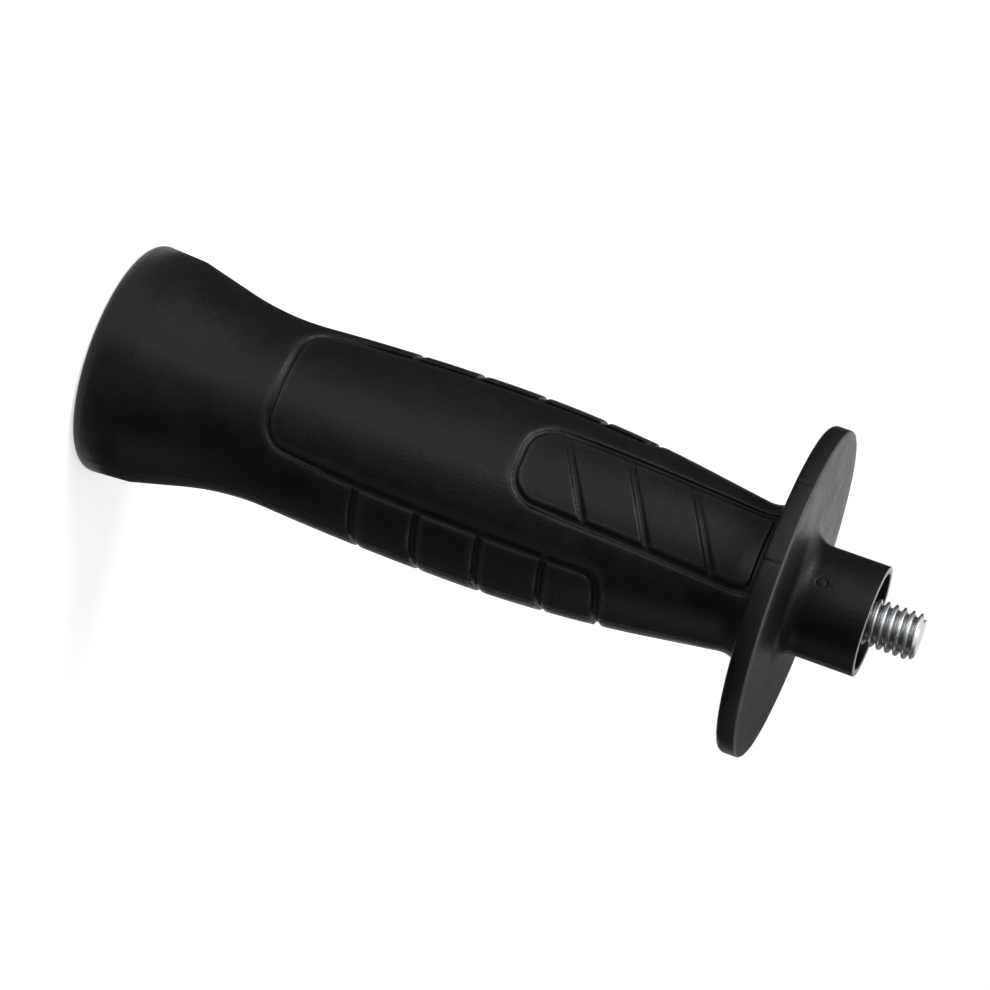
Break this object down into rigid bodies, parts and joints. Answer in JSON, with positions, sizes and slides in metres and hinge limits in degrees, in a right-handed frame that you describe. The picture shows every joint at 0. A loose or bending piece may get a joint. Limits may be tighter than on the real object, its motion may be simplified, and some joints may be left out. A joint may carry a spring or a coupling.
{
  "type": "power tool side handle",
  "caption": "Moulded plastic side handle with a swelling grip, a round finger guard, a flared rear end and a threaded steel mounting stud.",
  "frame": {"origin": "on the handle's axis, in the plane of the boss's front rim, which is the shoulder that seats on the tool", "axes": "+Z out along the stud, away from the grip; the two broad grip panels face -Y and +Y, and the finger pads are on +X and -X"},
  "size_m": [0.056, 0.056, 0.142],
  "materials": {
    "black_plastic": "moulded black plastic with a fine matt grain",
    "plated_steel": "bright zinc plating on rolled steel"
  },
  "bodies": {
    "root": {"handle_moulding": "black_plastic", "threaded_stud": "plated_steel"}
  },
  "joints": []
}
